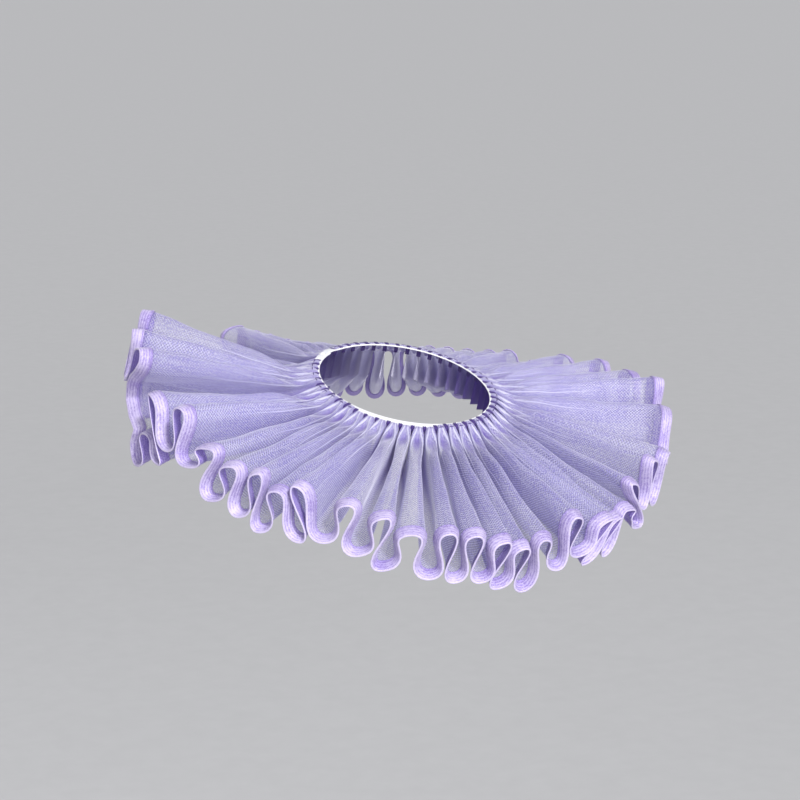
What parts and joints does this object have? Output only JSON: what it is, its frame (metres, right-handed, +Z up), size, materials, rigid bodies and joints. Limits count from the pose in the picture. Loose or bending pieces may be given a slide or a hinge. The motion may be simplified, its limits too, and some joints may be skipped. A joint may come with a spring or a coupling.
{
  "type": "ruff collar",
  "caption": "Worn ruff collar: a long strip of soft net pleated onto a narrow neck tape and opening into deep waves, its outer edge bound with ribbon, the neck open.",
  "frame": {"origin": "centre of the neck opening, where the wearer's neck holds the collar up", "axes": "+Z up; the wearer looks along -Y, and the wearer's left is +X"},
  "size_m": [0.4363, 0.4181, 0.1825],
  "materials": {
    "net": "soft sheer lilac net",
    "ribbon": "lilac ribbon with a low sheen",
    "tape": "white satin tape",
    "stud": "white gloss"
  },
  "bodies": {
    "root": {"net_ruffle": "net", "edge_ribbon": "ribbon", "neck_tape": "tape", "press_stud": "stud"}
  },
  "joints": []
}
